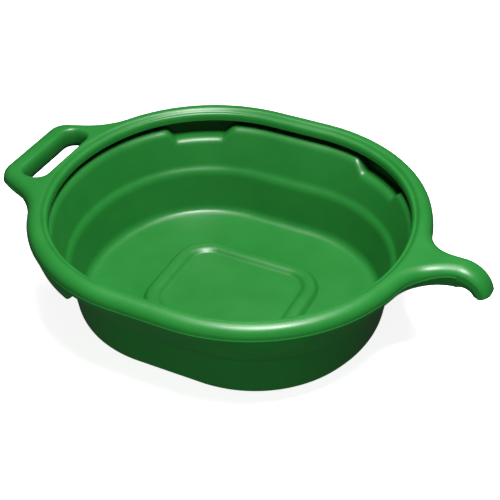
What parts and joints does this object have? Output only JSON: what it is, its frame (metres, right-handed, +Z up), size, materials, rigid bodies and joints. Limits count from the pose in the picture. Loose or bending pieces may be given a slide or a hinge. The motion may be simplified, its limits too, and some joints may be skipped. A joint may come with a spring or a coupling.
{
  "type": "oil drain pan",
  "caption": "Hollow blow-moulded drain pan: deep oval bowl with a rolled splash rim, a loop grip at one end and a turned-down pouring spout at the other.",
  "frame": {"origin": "on the surface that the pan stands on, under the middle of its overall length and width", "axes": "+X towards the spout, -X towards the grip, +Z up"},
  "size_m": [0.6208, 0.446, 0.1512],
  "materials": {
    "bowl_plastic": "satin, as blow moulded",
    "splash_rim_plastic": "satin, as blow moulded"
  },
  "bodies": {
    "root": {"bowl": "bowl_plastic", "splash_rim": "splash_rim_plastic"}
  },
  "joints": []
}
